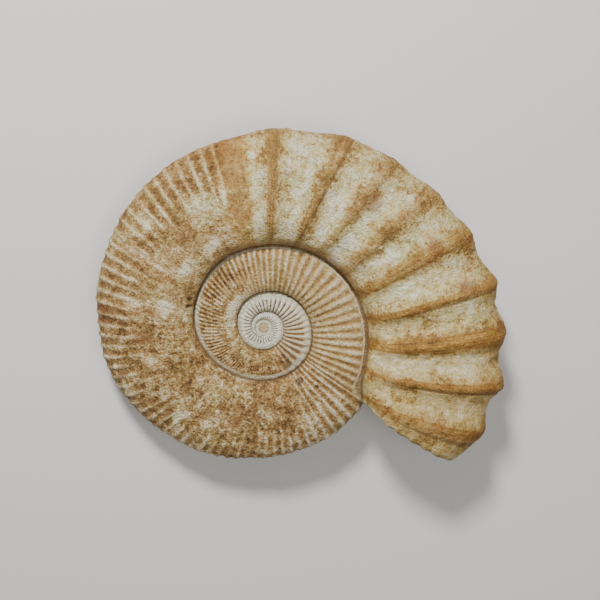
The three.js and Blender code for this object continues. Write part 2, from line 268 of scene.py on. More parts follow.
def inner_radius(angle):
    return np.where(angle + TURN > COIL_END, KNOB_RADIUS, seam_radius(angle + TURN))


def outer_radius(angle):
    inner = inner_radius(angle)
    hidden = inner + (seam_radius(angle) - inner) / cover(angle)
    return np.where(angle <= LAST_TURN_END, through(EDGE, angle), hidden)


def half_breadth(angle):
    return np.maximum(MOUTH_HALF_BREADTH * BREADTH_RATIO ** ((MOUTH - angle) / TURN), LEAST_HALF_BREADTH)


def superellipse(share, power):
    return (1 - np.clip(np.abs(share), 0, 1) ** power) ** (1 / power)


def seam_height(angle):
    share = (cover(angle) - WIDEST_AT) / (1 - WIDEST_AT)
    return half_breadth(angle) * superellipse(share, FLANK_POWER)


def section(angle, share):
    """The whorl's outline: radius, height above the middle plane, and the outward normal's two parts."""
    inner, outer, half = inner_radius(angle), outer_radius(angle), half_breadth(angle)
    height = outer - inner
    foot = seam_height(angle + TURN)
    inward = np.clip(1 - share / WIDEST_AT, 0, 1)
    outward = np.clip((share - WIDEST_AT) / (1 - WIDEST_AT), 0, 1)
    wall_rise = superellipse(inward, WALL_POWER)
    flank_rise = superellipse(outward, FLANK_POWER)
    on_wall = share < WIDEST_AT
    level = np.where(on_wall, foot + (half - foot) * wall_rise, half * flank_rise)
    wall_out = -(inward ** (WALL_POWER - 1)) / (WIDEST_AT * height)
    wall_up = wall_rise ** (WALL_POWER - 1) / (half - foot)
    flank_out = outward ** (FLANK_POWER - 1) / ((1 - WIDEST_AT) * height)
    flank_up = flank_rise ** (FLANK_POWER - 1) / half
    out, up = np.where(on_wall, wall_out, flank_out), np.where(on_wall, wall_up, flank_up)
    length = np.hypot(out, up)
    return inner + share * height, level, out / length, up / length


# What turns a cell's place and a seed into a random value.
CELL_PRIMES = (73856093, 19349663, 83492791)
SEED_FACTOR = 2654435
MIXER = 1274126177
SEED_SHIFT = 17.31


def noise(points, size, seed):
    """Smooth random values from -1 to 1, at points in millimetres, with lumps of a given size."""
    place = points / size + seed * SEED_SHIFT
    cell = np.floor(place).astype(np.int64)
    t = place - cell
    t = t * t * (3 - 2 * t)
    total = np.zeros(place.shape[:-1])
    for corner in np.ndindex(2, 2, 2):
        x, y, z = ((cell[..., axis] + corner[axis]) * CELL_PRIMES[axis] for axis in range(3))
        mixed = x ^ y ^ z ^ seed * SEED_FACTOR
        mixed = (mixed ^ mixed >> 13) * MIXER & 0xFFFFFFFF
        value = (mixed ^ mixed >> 16 & 0xFFFF) & 0xFFFF
        weight = np.prod(np.where(corner, t, 1 - t), axis=-1)
        total += weight * (value / (0xFFFF / 2) - 1)
    return total


def layered(points, size, seed, layers=3):
    """Noise with finer noise on top of it, still from -1 to 1."""
    total = sum(noise(points, size / 2**k, seed + k) / 2**k for k in range(layers))
    return total / sum(1 / 2**k for k in range(layers))


# Columns of the surface. A path is a column's angle at the seam, at mid-flank and at the outer
# edge. A phase counts ribs: it is whole on a crest and halfway between in a valley.
def fine_paths(angles):
    seam = angles + through(LEAN_AT_SEAM, angles)
    edge = angles + through(LEAN_AT_EDGE, angles)
    return np.stack([seam, angles, edge], axis=1)


def broad_columns():
    """The columns at the mouth, and evenly spaced ones from each broad rib's crest to the next."""
    ribs = np.array(BROAD_RIBS, float)
    steps = np.arange(BROAD_STEPS * (len(ribs) - 1) + 1) / BROAD_STEPS
    i = np.minimum(steps.astype(int), len(ribs) - 2)
    t = (steps - i)[:, None]
    return np.vstack([MOUTH_COLUMNS, mix(ribs[i], ribs[i + 1], t)]), np.r_[MOUTH_PHASES, steps]


def fine_columns(start, end, steps):
    """Columns over fine ribs, with a crest on the start angle and the last column short of the end."""
    angles, phases = [], []
    angle, phase = start, 0.0
    while angle < end:
        angles.append(angle)
        phases.append(phase)
        angle += float(through(FINE_SPACING, angle)) / steps
        phase += 1 / steps
    return np.array(angles), np.array(phases)


def last_turn_columns():
    """The last turn's columns: over the broad ribs, where the last one fades, and over the fine ribs."""
    broad, broad_phase = broad_columns()
    last_rib = np.array(BROAD_RIBS[-1])
    between = np.arange(last_rib[1] + FIRST_GAP, FINE_FROM - LAST_GAP, FADING_STEP)
    beyond = ((between - last_rib[1]) / LAST_RIB_FADES)[:, None]
    like_last_rib = last_rib - last_rib[1] + between[:, None]
    straightened = mix(like_last_rib, fine_paths(between), smooth(beyond, 0, 0.6))
    angles, phases = fine_columns(FINE_FROM, LAST_TURN_END - LAST_GAP, FINE_STEPS[0])
    fading = broad_phase[-1] + 0.5 * np.clip(beyond[:, 0], 0, 1)
    return np.vstack([broad, straightened, fine_paths(angles)]), np.r_[broad_phase, fading, phases]


def inner_turn_columns():
    """The columns of the inner turns on the face: straight on where the seam starts, then leaning."""
    paths, phase, turns = [[(LAST_TURN_END,) * 3]], [[0.5]], [[1]]
    start, count = LAST_TURN_END + FINE_AFTER_TURN, 0.0
    lead = np.arange(LAST_TURN_END + LEAD_STEP, start - LEAD_STEP / 2, LEAD_STEP)
    led = (lead - LAST_TURN_END) / FINE_AFTER_TURN
    paths.append(mix(lead[:, None], fine_paths(lead), led[:, None]))
    phase.append(0.5 + 0.5 * led)
    turns.append(np.full(len(lead), 1))
    for turn in (1, 2, 3):
        end = COIL_END - 2 if turn == 3 else LAST_TURN_END + turn * TURN
        angles, phases = fine_columns(start, end, FINE_STEPS[turn])
        paths.append(fine_paths(angles))
        phase.append(phases + count)
        turns.append(np.full(len(angles), turn))
        step = float(through(FINE_SPACING, angles[-1])) / FINE_STEPS[turn]
        start, count = angles[-1] + step, (phases[-1] + count + 1 / FINE_STEPS[turn]) % 1
    paths.append([(COIL_END,) * 3])
    phase.append([0.5])
    turns.append([3])
    return np.vstack(paths), np.concatenate(phase), np.concatenate(turns).astype(int)


def column_angle(paths, share):
    seam, middle, edge = paths[:, :1], paths[:, 1:2], paths[:, 2:]
    t = 2 * share - 1
    angle = middle + (edge - seam) / 2 * t + ((edge + seam) / 2 - middle) * t * t
    near_mouth = 1 - smooth(angle, MOUTH, MOUTH + RAGGED_OVER)
    first, second = (np.sin(np.radians(wave * share)) for wave in RAGGED_WAVES)
    return angle + RAGGED_BY * near_mouth * first * second


def marks(angle, radius, places):
    """1 in the middle of each mark, falling smoothly to 0 around it."""
    total = np.zeros(angle.shape)
    for at_angle, at_radius, half_length, half_width in places:
        apart = np.hypot((angle - at_angle) / half_length, (radius - at_radius) / half_width)
        total = np.maximum(total, 1 - smooth(apart, 0.4, 1.5))
    return total


def is_broad(angle):
    return angle < FINE_FROM - 2


def beside_seam(angle, share):
    """1 where an inner turn meets the next one out, falling to 0 away from it."""
    return (angle >= LAST_TURN_END) * smooth(share / COVER, 0.86, 1)


def rib_rise(angle, share, plan, worn):
    """How far the ribs' crests stand out, and the fine ribs' relief as a share of their spacing."""
    on_flank = through(BROAD_FLANK_HEIGHT, angle) * smooth(share, 0.01, 0.24)
    broad_rise = mix(on_flank, through(BROAD_EDGE_HEIGHT, angle), smooth(share, 0.55, 0.95))
    border = through(OUTER_FLANK_FROM, angle)
    outward = smooth(share, border - OUTER_FLANK_BLEND, border + OUTER_FLANK_BLEND)
    spacing = outer_radius(angle) * np.radians(through(FINE_SPACING, angle))
    fine_share = mix(through(FLANK_RELIEF, angle), through(EDGE_RELIEF, angle), outward)
    fine_rise = fine_share * spacing * smooth(share, 0.01, 0.15) * worn * (1 - beside_seam(angle, share))
    uneven = 1 + 0.15 * layered(plan, 34, 21, 2)
    return np.where(is_broad(angle), broad_rise * uneven, fine_rise), fine_share


def roughness(angle, share, crest, plan):
    """The stone's waves, lumps, grains and crust: their height, and the masks of the last two."""
    size = outer_radius(angle) - inner_radius(angle)
    rough = WAVE_HEIGHT * layered(plan, 38, 3) * smooth(size, 10, 90)
    grains = LUMP_HEIGHT * layered(plan, 12, 11, 2) + GRAIN_HEIGHT * noise(plan, 5, 31)
    rough += grains * smooth(size, 5, 60)
    crust = layered(plan, 24, 61, 4) + 0.25 * smooth(share, 0.55, 0.8) * (1 - smooth(angle, 60, 100))
    off_crests = 1 - 0.75 * smooth(crest, 0.3, 0.8)
    crusted = smooth(crust, 0.0, 0.14) * off_crests * (1 - smooth(angle, 300, 318))
    rough += CRUST_HEIGHT * crusted * smooth(share, 0.1, 0.25) * mix(1, 0.5, smooth(angle, 88, 118))
    rough *= smooth(share, 0.0, 0.06)
    rough *= np.where(angle >= LAST_TURN_END, 1 - smooth(share / COVER, 0.88, 1), 1)
    return rough, grains, crust


def relief(angle, share, phase, side, plan):
    """How far the stone stands out from the smooth whorl, and the masks that colour it."""
    broad = is_broad(angle)
    wave = 0.5 + 0.5 * np.cos(2 * np.pi * phase)
    from_crest = (phase + 0.5) % 1 - 0.5
    off_crest = np.abs(from_crest)
    broad_crest = wave ** np.where(from_crest < 0, 2.0, 1.2)
    crest = np.where(broad, broad_crest, wave ** through(CREST_POWER, angle))
    worn = 1 - 0.55 * smooth(layered(plan, 26, 51, 2), 0.05, 0.6) * (angle < LAST_TURN_END)
    rise, fine_share = rib_rise(angle, share, plan, worn)
    rough, grains, crust = roughness(angle, share, crest, plan)
    off_crease = np.abs(from_crest - CREASE_AT)
    shaded_crease = through(CREASE_STRENGTH, angle) * broad * smooth(share, 0.08, 0.4)
    shaded_crease = shaded_crease * (1 - smooth(off_crease, 0.4 * CREASE_HALF_WIDTH, 1.6 * CREASE_HALF_WIDTH))
    radius = np.hypot(plan[..., 0], plan[..., 1])
    pale, dark, rust = (
        marks(angle, radius, places) if side > 0 else 0 * angle
        for places in (PALE_MARKS, DARK_MARKS, RUST_MARKS)
    )
    half_width = through(OCHRE_HALF_WIDTH, angle) * mix(1, 1.35, smooth(share, 0.8, 1))
    rim_from, fade_from = through(RIM_FROM, angle), through(VALLEYS_FADE_FROM, angle)
    rib_relief = np.clip(fine_share / 0.16, 0, 1) * worn * (1 - 0.9 * beside_seam(angle, share))
    masks = {
        "crest": crest,
        "ribs": np.where(broad, 0, rib_relief),
        "ochre": 1 - smooth(off_crest, 0.4 * half_width, 1.6 * half_width),
        "ochred": through(OCHRE_STRENGTH, angle),
        "halo": 1 - smooth(off_crest, half_width, half_width + 0.24),
        "shaded_crease": shaded_crease,
        "ribwise": np.where(broad, phase, 0.0),
        "broad": 1 - smooth(angle, 90, 104),
        "crust": crust,
        "grains": grains,
        "pale": pale,
        "dark": dark,
        "rust": rust,
        "rim": smooth(share, rim_from, rim_from + 0.025) * smooth(angle, 400, 470),
        "fade": smooth(share, fade_from, fade_from + 0.25),
        "share": share + 0 * angle,
        "seam": (share == 0) + 0 * angle,
        "along": angle,
    }
    return crest * rise + rough - PIT_DEPTH * dark - CREASE_DEPTH * shaded_crease, masks


class Surface:
    """The points, masks and triangles, as they are made."""

    def __init__(self):
        self.points = []
        self.masks = {}
        self.faces = []
        self.count = 0

    def add(self, points, masks):
        flat = points.reshape(-1, 3)
        self.points.append(flat)
        for name, values in masks.items():
            self.masks.setdefault(name, []).append(np.broadcast_to(values, points.shape[:-1]).reshape(-1))
        first = self.count
        self.count += len(flat)
        return np.arange(first, self.count).reshape(points.shape[:-1])

    def masks_off_coil(self, along, crest=0.0):
        """The masks of points on the knob or in the mouth."""
        masks = {name: 0.0 for name in self.masks}
        masks.update(along=float(along), share=0.5, crest=crest)
        return masks

    def sheet(self, paths, phase, shares, side):
        """A block of columns and rows on one face, and the indices of its points."""
        shares = np.asarray(shares, float)[None, :]
        angle = column_angle(paths, shares)
        radius, level, out, up = section(angle, shares)
        turned = np.radians(angle)
        plan = np.stack([radius * np.cos(turned), radius * np.sin(turned), side * level], axis=-1)
        lift, masks = relief(angle, shares, phase[:, None], side, plan)
        on_seam = np.broadcast_to(shares == 0, angle.shape)
        depth = SEAM_DEPTH * smooth(outer_radius(angle) - inner_radius(angle), 0, 30)
        reach = radius + np.where(on_seam, 0, lift * out)
        height = side * (level + np.where(on_seam, -depth, lift * up))
        points = np.stack([reach * np.cos(turned), reach * np.sin(turned), height], axis=-1)
        return self.add(points, masks)

    def quads(self, grid, flip):
        a, b, c, d = grid[:-1, :-1], grid[1:, :-1], grid[1:, 1:], grid[:-1, 1:]
        corners = np.stack([a, d, c, b] if flip else [a, b, c, d], axis=-1).reshape(-1, 4)
        self.faces.extend(map(tuple, corners.tolist()))

    def stitch(self, left, right, flip):
        """Joins two lines of (index, how far along) by triangles."""
        i, j = 0, 0
        while i < len(left) - 1 or j < len(right) - 1:
            at_end = j == len(right) - 1
            from_left = at_end or (i < len(left) - 1 and left[i + 1][1] <= right[j + 1][1])
            new = left[i + 1][0] if from_left else right[j + 1][0]
            corners = [left[i][0], right[j][0], new]
            if len(set(corners)) == 3:
                self.faces.append(tuple(reversed(corners)) if flip else tuple(corners))
            if from_left:
                i += 1
            else:
                j += 1


def row_shares(count):
    """The rows' shares from the seam to where the next turn covers the flank, closer at the seam."""
    t = np.linspace(0, 1, count + 1)
    return COVER * (0.7 * t + 0.3 * t * t)


def build_face(surface, last_paths, last_phase, side):
    """One face of the coil. Returns the last turn's grid and the point where its seam starts."""
    up = side > 0
    rows = FLANK_ROWS if up else UNDERSIDE_ROWS
    last = surface.sheet(last_paths, last_phase, row_shares(rows[0]), side)
    surface.quads(last, up)
    if up:
        paths, phase, turns = inner_turn_columns()
    else:
        angles = np.arange(LAST_TURN_END, COIL_END, UNDERSIDE_STEP, dtype=float)
        angles[-1] = COIL_END
        paths, phase = np.repeat(angles[:, None], 3, axis=1), np.full(len(angles), 0.5)
        turns = np.clip((angles - MOUTH) // TURN, 1, 3).astype(int)
    foot = int(last[0, 0])
    seam = [(int(last[k, 0]), last_paths[k, 0] + TURN) for k in range(len(last_paths))]
    inside, rim = [], []
    previous = [(int(index), share / COVER) for index, share in zip(last[-1], row_shares(rows[0]))]
    for turn in (1, 2, 3):
        chosen = turns == turn
        shares = row_shares(rows[turn])[:-1]
        grid = surface.sheet(paths[chosen], phase[chosen], shares, side)
        surface.quads(grid, up)
        ladder = [(int(index), share / COVER) for index, share in zip(grid[0], shares)]
        surface.stitch(previous, ladder + ([(foot, 1)] if turn == 1 else []), up)
        previous = [(int(index), share / COVER) for index, share in zip(grid[-1], shares)]
        ends = column_angle(paths[chosen], np.array([[shares[-1]]]))[:, 0]
        inside += [(int(index), angle) for index, angle in zip(grid[:, -1], ends)]
        for index, angle in zip(grid[:, 0], paths[chosen][:, 0]):
            if angle + TURN <= COIL_END:
                seam.append((int(index), angle + TURN))
            else:
                rim.append(int(index))
    surface.stitch(inside, seam, not up)
    close_centre(surface, [seam[-1][0]] + rim + [index for index, _ in previous[1:]], side)
    return last, foot


def close_centre(surface, rim, side):
    """The knob at the centre, as two rings and a top. The first ring is as whitish as the coil's end."""
    points = np.vstack(surface.points)
    level = float(points[rim[0], 2])
    outer = rim
    for share, along in zip(KNOB_RINGS, (COIL_END, ON_KNOB)):
        ring_points = points[rim] * [share, share, 1]
        ring_points[:, 2] = level + side * KNOB_HEIGHT * (1 - share**2)
        ring = surface.add(ring_points, surface.masks_off_coil(along, 1.0)).tolist()
        for k in range(len(rim)):
            n = (k + 1) % len(rim)
            corners = (outer[k], outer[n], ring[n], ring[k])
            surface.faces.append(corners if side > 0 else corners[::-1])
        outer = ring
    top_point = np.array([[0, 0, level + side * KNOB_HEIGHT]])
    top = int(surface.add(top_point, surface.masks_off_coil(ON_KNOB))[0])
    for k in range(len(outer)):
        corners = (outer[k], outer[(k + 1) % len(outer)], top)
        surface.faces.append(corners if side > 0 else corners[::-1])


def build_edge(surface, paths, phase, upper, lower, upper_foot, lower_foot):
    """The last turn's outer edge, from one face over to the other, and its end under the mouth."""
    def hoop_shares(start):
        outward = ((start - WIDEST_AT) / (1 - WIDEST_AT)) ** (FLANK_POWER / 2)
        first = math.asin(outward)
        turn = np.linspace(first, math.pi - first, EDGE_ROWS + 1)[1:-1]
        return WIDEST_AT + (1 - WIDEST_AT) * np.sin(turn) ** (2 / FLANK_POWER), turn < math.pi / 2

    def hoops(some_paths, some_phase, start):
        shares, is_upper = hoop_shares(start)
        top = surface.sheet(some_paths, some_phase, shares[is_upper], 1)
        bottom = surface.sheet(some_paths, some_phase, shares[~is_upper], -1)
        return np.hstack([top, bottom])

    middle = hoops(paths, phase, COVER)
    grid = np.hstack([upper[:, -1:], middle, lower[:, -1:]])
    surface.quads(grid, True)
    last = hoops(np.full((1, 3), float(LAST_TURN_END)), np.array([0.5]), float(cover(LAST_TURN_END)))[0]
    core = [upper_foot, *last.tolist(), lower_foot]
    steps = np.linspace(0, 1, EDGE_ROWS + 1)
    surface.stitch(list(zip(grid[-1].tolist(), steps)), list(zip(core, steps)), True)
    return grid, core


def build_mouth(surface, upper, edge, lower, core):
    """The rough break at the mouth, in rings from its rim in to the whorl inside."""
    rim = [*upper[0].tolist(), *edge[0, 1:-1].tolist(), *lower[0][::-1].tolist()]
    points = np.vstack(surface.points)

    def along(line, t):
        place = np.linspace(0, 1, len(line))
        return np.stack([np.interp(t, place, points[line][:, axis]) for axis in range(3)], axis=-1)

    turned = math.radians(MOUTH)
    inward = np.array([-math.sin(turned), math.cos(turned), 0])
    outer = list(zip(rim, np.linspace(0, 1, len(rim))))
    for ring in range(1, BREAK_RINGS + 1):
        share = ring / BREAK_RINGS
        if ring == BREAK_RINGS:
            inner = list(zip(core, np.linspace(0, 1, len(core))))
        else:
            count = round(mix(len(rim), len(core), share))
            t = np.linspace(0, 1, count)[1:-1]
            flat = mix(along(rim, t), along(core, t), share)
            hollow = BREAK_HOLLOW + BREAK_LUMPS * layered(flat, 42, 41)
            hollow += BREAK_GRAIN * layered(flat, 12, 47, 2)
            hollow *= np.sin(np.pi * t) * math.sin(math.pi * share) ** 0.7
            ring_points = surface.add(flat + inward * hollow[:, None], surface.masks_off_coil(IN_MOUTH))
            inner = [(rim[0], 0.0), *zip(ring_points.tolist(), t), (rim[-1], 1.0)]
        surface.stitch(outer, inner, False)
        outer = inner


def lay_down(points):
    """From the middle plane's frame to the part's, in metres. The lowest crests are worn flat."""
    x, y, z = points.T
    height = np.maximum(z + MIDDLE_HEIGHT + SLOPE_X * x, 0)
    return np.stack([x + AXIS_X, y + AXIS_Y, height], axis=1) * MM


def build_ammonite():
    surface = Surface()
    paths, phase = last_turn_columns()
    upper, upper_foot = build_face(surface, paths, phase, 1)
    lower, lower_foot = build_face(surface, paths, phase, -1)
    edge, core = build_edge(surface, paths, phase, upper, lower, upper_foot, lower_foot)
    build_mouth(surface, upper, edge, lower, core)
    mesh = bpy.data.meshes.new("ammonite_stone")
    mesh.from_pydata(lay_down(np.vstack(surface.points)).tolist(), [], surface.faces)
    for name, values in surface.masks.items():
        layer = mesh.attributes.new(name, "FLOAT", "POINT")
        layer.data.foreach_set("value", np.concatenate(values).astype(np.float32))
    mesh.shade_smooth()
    mesh.update()
    stone = bpy.data.objects.new("ammonite_stone", mesh)
    bpy.context.scene.collection.objects.link(stone)
    return stone


def linear(red, green, blue):
    """A colour given in sRGB from 0 to 255, as the shader's linear values."""
    values = [channel / 255 for channel in (red, green, blue)]
    return [v / 12.92 if v <= 0.04045 else ((v + 0.055) / 1.055) ** 2.4 for v in values] + [1.0]


class Shader:
    """Short ways to add and join shader nodes."""

    def __init__(self, name):
        self.material = bpy.data.materials.new(name)
        self.material.use_nodes = True
        self.nodes = self.material.node_tree.nodes
        self.links = self.material.node_tree.links
        self.surface = self.nodes["Principled BSDF"]
        self.place = self.nodes.new("ShaderNodeTexCoord").outputs["Object"]

    def put(self, socket, value):
        if isinstance(value, bpy.types.NodeSocket):
            self.links.new(value, socket)
        else:
            socket.default_value = value

    def mask(self, name):
        node = self.nodes.new("ShaderNodeAttribute")
        node.attribute_name = name
        return node.outputs["Fac"]

    def noise(self, size_mm, detail, roughness, warp=0.0, stretch=None, output="Fac"):
        node = self.nodes.new("ShaderNodeTexNoise")
        node.inputs["Scale"].default_value = 1000 / size_mm
        node.inputs["Detail"].default_value = detail
        node.inputs["Roughness"].default_value = roughness
        node.inputs["Distortion"].default_value = warp
        self.put(node.inputs["Vector"], stretch if stretch else self.place)
        return node.outputs[output]

    def cells(self, size_mm, place):
        node = self.nodes.new("ShaderNodeTexVoronoi")
        node.inputs["Scale"].default_value = 1000 / size_mm
        self.put(node.inputs["Vector"], place)
        return node.outputs

    def flakes(self, size_mm, warp):
        """A random value for each of many small cells with wavy edges."""
        bent = self.nodes.new("ShaderNodeVectorMath")
        bent.operation = "MULTIPLY_ADD"
        self.put(bent.inputs[0], self.noise(size_mm * 0.8, 2, 0.5, output="Color"))
        bent.inputs[1].default_value = (warp * MM,) * 3
        self.put(bent.inputs[2], self.place)
        parts = self.nodes.new("ShaderNodeSeparateColor")
        self.put(parts.inputs["Color"], self.cells(size_mm, bent.outputs["Vector"])["Color"])
        return parts.outputs["Red"]

    def math(self, operation, *values):
        node = self.nodes.new("ShaderNodeMath")
        node.operation = operation
        for socket, value in zip(node.inputs, values):
            self.put(socket, value)
        return node.outputs[0]

    def step(self, value, low, high, to_low=0.0, to_high=1.0):
        node = self.nodes.new("ShaderNodeMapRange")
        node.interpolation_type = "SMOOTHSTEP"
        self.put(node.inputs["Value"], value)
        node.inputs["From Min"].default_value = low
        node.inputs["From Max"].default_value = high
        node.inputs["To Min"].default_value = to_low
        node.inputs["To Max"].default_value = to_high
        return node.outputs["Result"]

    def blend(self, amount, first, second, kind="MIX"):
        node = self.nodes.new("ShaderNodeMix")
        node.data_type = "RGBA"
        node.blend_type = kind
        self.put(node.inputs["Factor"], amount)
        self.put(node.inputs["A"], first)
        self.put(node.inputs["B"], second)
        return node.outputs["Result"]

    def times(self, a, b):
        return self.math("MULTIPLY", a, b)

    def plus(self, a, b):
        return self.math("ADD", a, b)

    def larger(self, a, b):
        return self.math("MAXIMUM", a, b)

    def between(self, value, low, high, soft):
        """1 where a value lies between two limits, with soft ends."""
        rising = self.step(value, low - soft, low + soft)
        falling = self.step(value, high - soft, high + soft, 1.0, 0.0)
        return self.times(rising, falling)

    def ramp(self, value, stops):
        """A colour from a value, through (value, colour) stops."""
        node = self.nodes.new("ShaderNodeValToRGB")
        ramp = node.color_ramp
        ramp.interpolation = "EASE"
        while len(ramp.elements) < len(stops):
            ramp.elements.new(0.5)
        for element, (place, colour) in zip(ramp.elements, stops):
            element.position = place
            element.color = colour
        self.put(node.inputs["Fac"], value)
        return node.outputs["Color"]

    def total(self, start, *terms):
        """A starting value plus each term's value times its gain."""
        for gain, value in terms:
            start = self.math("MULTIPLY_ADD", value, gain, start)
        return start

    def centred(self, value):
        return self.plus(value, -0.5)

    def spread(self, across, along, across_scale, along_scale):
        """Coordinates in which a noise is drawn out one way."""
        node = self.nodes.new("ShaderNodeCombineXYZ")
        self.put(node.inputs["X"], self.times(across, across_scale))
        self.put(node.inputs["Y"], self.times(along, along_scale))
        return node.outputs["Vector"]

    def curls(self, size_mm, width):
        """1 along thin winding lines, and 0 elsewhere."""
        winding = self.noise(size_mm, 2, 0.5, 1.2)
        return self.step(self.math("ABSOLUTE", self.centred(winding)), 0.25 * width, width, 1.0, 0.0)

    def dots(self, size_mm, radius):
        """1 in small scattered spots, and 0 elsewhere. The radius is a share of their spacing."""
        distance = self.cells(size_mm, self.place)["Distance"]
        return self.step(distance, 0.5 * radius, 1.5 * radius, 1.0, 0.0)


class Stone(Shader):
    """The limestone: what its colours share, and a method for the colour of each part."""

    def __init__(self):
        super().__init__("limestone")
        self.along, self.share, self.crest = self.mask("along"), self.mask("share"), self.mask("crest")
        self.grains, self.pale = self.mask("grains"), self.mask("pale")

        # Random values from about -0.5 to 0.5, in lumps of several sizes and in thin flakes.
        self.large = self.centred(self.noise(55, 4, 0.6, 0.5))
        self.medium = self.centred(self.noise(15, 4, 0.7, 0.8))
        self.small = self.centred(self.noise(5, 3, 0.7, 0.6))
        self.fine = self.centred(self.noise(2.4, 2, 0.6))
        self.small_flakes = self.centred(self.flakes(4.2, 5))
        self.large_flakes = self.centred(self.flakes(9, 9))

        # Pale lines and raised chips, partly painted highlights, dark dots, and the speckle they add up to.
        self.pale_curls_and_highlights = self.times(self.curls(8, 0.07), self.step(self.large, -0.1, 0.1, 0.35, 1.0))
        self.dark_dots = self.times(self.dots(6.5, 0.2), self.step(self.medium, 0.0, 0.15, 0.2, 1.0))
        self.chips_and_glints = self.step(self.flakes(7, 7), 0.8, 0.84)
        self.speckle = self.total(
            -0.02, (0.2, self.small_flakes), (0.26, self.large_flakes), (0.9, self.small), (1.1, self.fine),
            (0.14, self.pale_curls_and_highlights), (-0.25, self.dark_dots),
        )

        # Streaks from the seam to the outer edge: wide ones anywhere, narrow ones along the broad ribs.
        wide = self.spread(self.along, self.share, 0.0042, 0.028)
        narrow = self.spread(self.mask("ribwise"), self.share, 0.36, 0.03)
        self.streaks = self.centred(self.noise(14, 4, 0.65, 0.6, wide))
        self.fine_streaks = self.centred(self.noise(14, 3, 0.6, 0.2, narrow))

        # Where the stone is crinkled, where the lumps of crust are, and their borders.
        self.crinkled = self.over(18, 92, 12)
        lumps = self.total(self.mask("crust"), (0.3, self.small))
        self.has_crust = self.step(lumps, 0.0, 0.1)
        self.crust_edge = self.between(lumps, -0.05, 0.03, 0.03)

    def over(self, first, last, soft):
        """1 between two angles along the coil, with soft ends."""
        return self.between(self.along, first, last, soft)

    def before(self, start, end):
        """1 on the mouth's side of an angle along the coil, falling to 0 from the start to the end."""
        return self.step(self.along, start, end, 1.0, 0.0)

    def after(self, start, end):
        """0 on the mouth's side of an angle along the coil, rising to 1 from the start to the end."""
        return self.step(self.along, start, end)

    def tone_down(self, colour, tint):
        """The colour times a tint."""
        return self.blend(1.0, colour, tint, "MULTIPLY")

    def mottled(self):
        """The fine-ribbed part of the last turn and the second turn: brown through ochre to cream."""
        on_last_turn = self.before(300, 318)
        strong_ribs = self.over(318, 470, 20)
        smooth_part = self.larger(self.over(96, 106, 5), self.times(self.over(106, 175, 15), 0.45))
        calm = self.total(1.0, (-0.5, self.larger(strong_ribs, smooth_part)))
        slow = self.total(1.0, (-0.6, self.over(318, 640, 20)))
        end_of_turn = self.times(self.over(285, 322, 12), self.step(self.share, 0.3, 0.6))
        # Painted light: the last turn's lower outer edge is lightened to offset its shade where it turns
        # from the light.
        lit_lower_edge = self.times(self.over(200, 300, 15), self.step(self.share, 0.6, 0.85))
        contrast = self.total(0.55, (-0.2, self.over(195, 300, 15)), (-0.18, self.over(362, 450, 15)))
        ribs = self.times(contrast, self.mask("ribs"))
        rib_wave = self.plus(self.crest, self.step(self.along, 310, 340, -0.27, -0.5))
        tone = self.total(
            0.43, (self.times(0.5, slow), self.large),
            (self.times(self.times(0.75, calm), slow), self.medium),
            (calm, self.speckle), (self.times(0.16, calm), self.grains), (0.33, self.pale),
            (0.05, smooth_part), (0.1, self.times(self.has_crust, on_last_turn)),
            (0.2, self.over(330, 480, 25)), (0.1, self.over(480, 590, 25)), (0.05, self.over(100, 175, 15)),
            (0.12, end_of_turn), (0.07, lit_lower_edge), (ribs, rib_wave),
        )
        return tone, self.ramp(tone, [
            (0.05, linear(88, 62, 34)), (0.3, linear(133, 101, 56)), (0.53, linear(169, 137, 84)),
            (0.74, linear(198, 176, 126)), (0.95, linear(226, 217, 186)),
        ])

    def tinted(self, colour):
        """The colour, drawn towards olive in some places and towards pink in others."""
        hue = self.noise(34, 3, 0.6, 0.5)
        return self.tone_down(colour, self.ramp(hue, [
            (0.38, (1.0, 0.94, 0.93, 1)), (0.5, (1.0, 0.965, 0.965, 1)), (0.62, (0.96, 0.965, 0.89, 1)),
        ]))

    def crust(self):
        """The whitish crust between the broad ribs, with brown blotches near the outer edge."""
        speckled = self.step(self.along, 10, 30, 0.85, 1.0)
        # Pale chips near the outer edge, partly painted glints on flake edges.
        pale_chips_and_glints = self.times(self.chips_and_glints, self.larger(self.step(self.share, 0.6, 0.8), self.crinkled))
        outwards = self.times(self.step(self.share, 0.7, 0.85), self.step(self.along, 20, 50, 0.4, 1.0))
        blotches = self.times(self.step(self.noise(20, 4, 0.7, 1.0), 0.5, 0.56), outwards)
        tone = self.total(
            0.46, (-0.02, self.crinkled), (0.08, self.over(30, 62, 8)), (0.95, self.large),
            (1.1, self.medium), (speckled, self.speckle), (-0.24, self.mask("halo")),
            (0.12, self.has_crust), (-0.14, self.crust_edge), (0.7, self.streaks),
            (0.3, self.fine_streaks), (0.06, self.grains), (0.22, self.pale), (0.2, pale_chips_and_glints),
            (-0.3, blotches),
        )
        return self.ramp(tone, [
            (0.04, linear(140, 106, 54)), (0.26, linear(182, 154, 94)), (0.5, linear(200, 184, 130)),
            (0.72, linear(213, 202, 156)), (0.98, linear(230, 226, 204)),
        ])

    def ochre(self):
        """The ochre along the broad ribs, which turns to olive away from the mouth."""
        tone = self.total(
            0.41, (0.5, self.large), (0.4, self.medium), (0.5, self.speckle), (0.08, self.has_crust),
            (0.12, self.over(93, 108, 3)), (0.8, self.streaks), (1.0, self.fine_streaks),
        )
        ochre = self.ramp(tone, [
            (0.12, linear(102, 70, 30)), (0.4, linear(149, 109, 48)), (0.62, linear(179, 140, 70)),
            (0.9, linear(210, 183, 122)),
        ])
        olive = self.ramp(tone, [
            (0.12, linear(106, 84, 46)), (0.4, linear(150, 122, 72)), (0.62, linear(178, 150, 96)),
            (0.9, linear(206, 188, 140)),
        ])
        return self.blend(self.step(self.along, 25, 50, 0.0, 0.5), ochre, olive)

